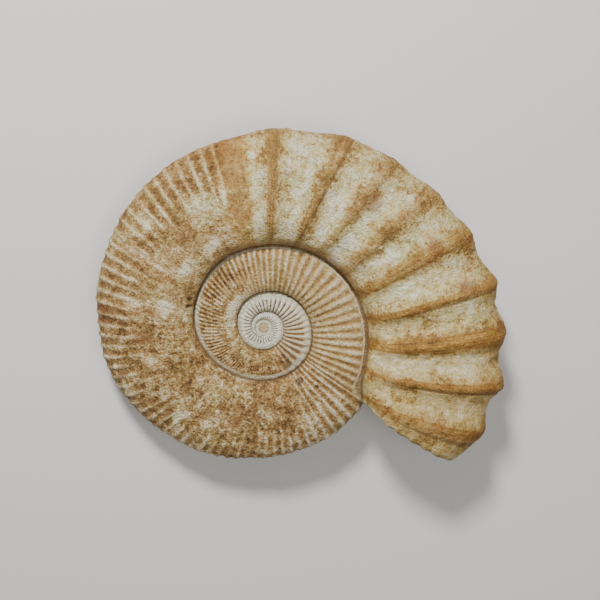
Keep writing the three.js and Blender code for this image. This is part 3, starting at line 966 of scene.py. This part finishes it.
    def broad_ribs(self):
        """The broad ribs: crust between them, ragged ochre bands along them and creases darkened with
        painted shade.
        """
        ragged = self.total(
            self.mask("ochre"), (0.8, self.medium), (0.5, self.small), (0.9, self.streaks),
            (0.5, self.fine_streaks), (-0.15, self.has_crust),
        )
        amount = self.times(self.step(ragged, 0.2, 0.75), self.mask("ochred"))
        colour = self.blend(amount, self.crust(), self.ochre())
        # Painted shade: the crease on each broad rib's side towards the mouth is darkened.
        broken = self.total(self.mask("shaded_crease"), (1.0, self.medium), (0.6, self.small))
        return self.blend(self.times(self.step(broken, 0.25, 0.7), 0.7), colour, linear(*CREASE_SHADE_COLOUR))

    def whitish(self):
        """The innermost turns: whitish ribs, with narrow brown valleys that fade out outwards."""
        # The foot beside the knob is made whitish, partly as painted light against the wall's shade there.
        pale_and_lit_knob_foot = self.times(self.step(self.share, 0.0, 0.08, 1.0, 0.0), self.after(980, 1000))
        tone = self.total(self.crest, (0.3, self.speckle), (0.75, self.mask("fade")), (0.5, pale_and_lit_knob_foot))
        tan = self.ramp(tone, [
            (0.08, linear(130, 100, 66)), (0.35, linear(172, 144, 104)), (0.75, linear(218, 203, 170)),
        ])
        white = self.ramp(tone, [
            (0.12, linear(112, 84, 56)), (0.4, linear(170, 143, 108)), (0.66, linear(218, 213, 190)),
            (0.95, linear(228, 225, 206)),
        ])
        return self.blend(self.after(715, 775), tan, white)

    def with_rim_and_knob(self, colour):
        """The inner turns' pale rim, and the knob in the middle of its whitish ring."""
        rim = self.ramp(self.total(0.5, (0.8, self.medium), (0.8, self.small)), [
            (0.2, linear(180, 166, 130)), (0.55, linear(208, 202, 174)),
        ])
        colour = self.blend(self.times(self.mask("rim"), 0.85), colour, rim)
        knob = self.ramp(self.total(0.5, (1.0, self.small), (0.6, self.medium)), [
            (0.3, linear(164, 142, 94)), (0.7, linear(200, 184, 142)),
        ])
        return self.blend(self.after(COIL_END + 1, COIL_END + 12), colour, knob)

    def with_brown_places(self, colour):
        """Browner along the broad-ribbed part's outer edge, beside the mouth and behind the last rib."""
        outwards = self.times(self.step(self.share, 0.72, 0.95), self.before(130, 165))
        browned = self.total(
            0.0, (0.75, outwards), (0.6, self.times(outwards, self.before(-5, 22))),
            (0.85, self.before(-25, 0)), (1.2, self.times(outwards, self.medium)),
            (0.6, self.times(outwards, self.over(96, 112, 5))),
        )
        colour = self.blend(browned, colour, self.tone_down(colour, BROWN_TINT))
        behind_rib = self.between(self.total(self.along, (14, self.medium)), 96, 107, 4)
        return self.blend(self.times(behind_rib, 0.8), colour, self.tone_down(colour, OCHRE_TINT))

    def with_seams(self, colour):
        """A thin pale line along the second turn's rim, a dark line of painted shade in the seams, and
        brown on the walls that is partly painted shade.
        """
        line = self.times(self.over(326, 560, 4), self.step(self.share, 0.75, 0.765))
        colour = self.blend(self.times(line, 0.75), colour, linear(*LINE_COLOUR))
        # Partly painted shade: the last turn's wall at the top is browned where it faces away from the
        # light.
        shaded_wall = self.times(self.step(self.share, 0.03, 0.1, 1.0, 0.0), self.over(15, 115, 25))
        colour = self.blend(self.times(shaded_wall, 0.65), colour, linear(*WALL_SHADE_COLOUR))
        # Painted shade: a dark line at each turn's foot and on the seam row, in the crevice between turns.
        foot = self.times(self.step(self.share, 0.006, 0.014, 1.0, 0.0), self.before(600, 1000))
        colour = self.blend(self.times(foot, 0.65), colour, linear(*FOOT_SHADE_COLOUR))
        strength = self.step(self.along, 450, 720, 0.6, 0.25)
        seam = self.times(self.step(self.mask("seam"), 0.1, 0.5), strength)
        return self.blend(seam, colour, linear(*SEAM_SHADE_COLOUR))

    def with_marks(self, colour):
        """Ragged rust-coloured marks and small dark pits."""
        rusty = self.step(self.total(self.mask("rust"), (1.2, self.medium), (1.0, self.small)), 0.3, 0.8)
        colour = self.blend(self.times(rusty, 0.55), colour, linear(*RUST_COLOUR))
        return self.blend(self.times(self.mask("dark"), 0.8), colour, linear(*PIT_COLOUR))

    def with_filling(self, colour, tone):
        """The broken stone that fills the mouth."""
        filling = self.ramp(self.total(tone, (0.8, self.large)), [
            (0.15, linear(104, 82, 58)), (0.45, linear(158, 134, 98)), (0.8, linear(204, 188, 152)),
        ])
        return self.blend(self.before(IN_MOUTH + 2, IN_MOUTH + 6), colour, filling)

    def add_bump(self):
        """Grains and flakes, calmer on the smooth ribs by the mouth and behind the last broad rib."""
        height = self.total(
            0.0, (0.75, self.small), (0.7, self.fine), (0.12, self.pale_curls_and_highlights), (-0.3, self.dark_dots),
            (0.2, self.chips_and_glints), (0.22, self.small_flakes), (0.4, self.large_flakes),
        )
        calm_parts = self.total(1.0, (-0.3, self.before(0, 40)), (-0.5, self.over(94, 108, 3)))
        bump = self.nodes.new("ShaderNodeBump")
        bump.inputs["Strength"].default_value = 1.0
        bump.inputs["Distance"].default_value = BUMP_DEPTH * MM
        self.put(bump.inputs["Height"], self.times(height, calm_parts))
        self.put(self.surface.inputs["Normal"], bump.outputs["Normal"])


def stone_material():
    stone = Stone()
    tone, colour = stone.mottled()
    on_broad_ribs = stone.step(stone.total(stone.mask("broad"), (1.2, stone.medium)), 0.4, 0.6)
    colour = stone.tinted(stone.blend(on_broad_ribs, colour, stone.broad_ribs()))
    colour = stone.blend(stone.after(655, 690), colour, stone.whitish())
    colour = stone.with_rim_and_knob(colour)
    colour = stone.with_brown_places(colour)
    colour = stone.with_seams(colour)
    colour = stone.with_marks(colour)
    stone.put(stone.surface.inputs["Base Color"], stone.with_filling(colour, tone))
    stone.surface.inputs["Roughness"].default_value = 0.75
    stone.surface.inputs["Specular IOR Level"].default_value = 0.35
    stone.add_bump()
    return stone.material


def plain_material(name, colour, roughness):
    shader = Shader(name)
    shader.surface.inputs["Base Color"].default_value = colour
    shader.surface.inputs["Roughness"].default_value = roughness
    return shader.material


def add_floor():
    bpy.ops.mesh.primitive_plane_add(size=FLOOR_WIDTH)
    floor = bpy.context.object
    floor.name = "floor"
    floor.data.materials.append(plain_material("pale_floor", linear(*FLOOR_COLOUR), 0.9))
    return floor


def view_axes():
    """The middle plane's right, up and outward directions as the fossil lies."""
    outward = Vector((-SLOPE_X, 0, 1)).normalized()
    up = (Vector((0, 1, 0)) - outward * outward.y).normalized()
    return up.cross(outward), up, outward


def add_camera():
    right, up, outward = view_axes()
    seen = Vector((AXIS_X, AXIS_Y, MIDDLE_HEIGHT)) + right * SEEN_X + up * SEEN_Y
    pitch = math.radians(CAMERA_PITCH)
    backward = up * math.sin(pitch) + outward * math.cos(pitch)
    upward = up * math.cos(pitch) - outward * math.sin(pitch)
    camera = bpy.data.objects.new("camera", bpy.data.cameras.new("camera"))
    camera.data.lens = LENS
    camera.data.sensor_width = SENSOR_WIDTH
    turn = Matrix((right, upward, backward)).transposed().to_4x4()
    camera.matrix_world = Matrix.Translation((seen + backward * CAMERA_DISTANCE) * MM) @ turn
    bpy.context.scene.collection.objects.link(camera)
    bpy.context.scene.camera = camera


def add_light(name, place, size, power):
    light = bpy.data.lights.new(name, "AREA")
    light.shape = "DISK"
    light.size = size
    light.energy = power
    lamp = bpy.data.objects.new(name, light)
    lamp.location = place
    lamp.rotation_euler = (-Vector(place)).to_track_quat("-Z", "Y").to_euler()
    bpy.context.scene.collection.objects.link(lamp)


def add_room():
    world = bpy.data.worlds.new("soft_light")
    world.use_nodes = True
    world.node_tree.nodes["Background"].inputs["Color"].default_value = (1.0, 0.99, 0.97, 1)
    world.node_tree.nodes["Background"].inputs["Strength"].default_value = SKY_STRENGTH
    bpy.context.scene.world = world
    add_light("key", *KEY_LIGHT)
    add_light("fill", *FILL_LIGHT)


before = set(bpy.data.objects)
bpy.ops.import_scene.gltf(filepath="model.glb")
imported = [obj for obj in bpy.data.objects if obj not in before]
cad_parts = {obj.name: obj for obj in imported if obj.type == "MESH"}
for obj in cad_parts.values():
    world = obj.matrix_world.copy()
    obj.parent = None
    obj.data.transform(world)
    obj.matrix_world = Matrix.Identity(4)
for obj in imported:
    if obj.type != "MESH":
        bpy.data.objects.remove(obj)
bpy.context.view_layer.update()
ammonite = build_ammonite()
ammonite.data.materials.append(stone_material())
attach(ammonite, "root")
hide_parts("ammonite")
add_floor()
add_camera()
add_room()
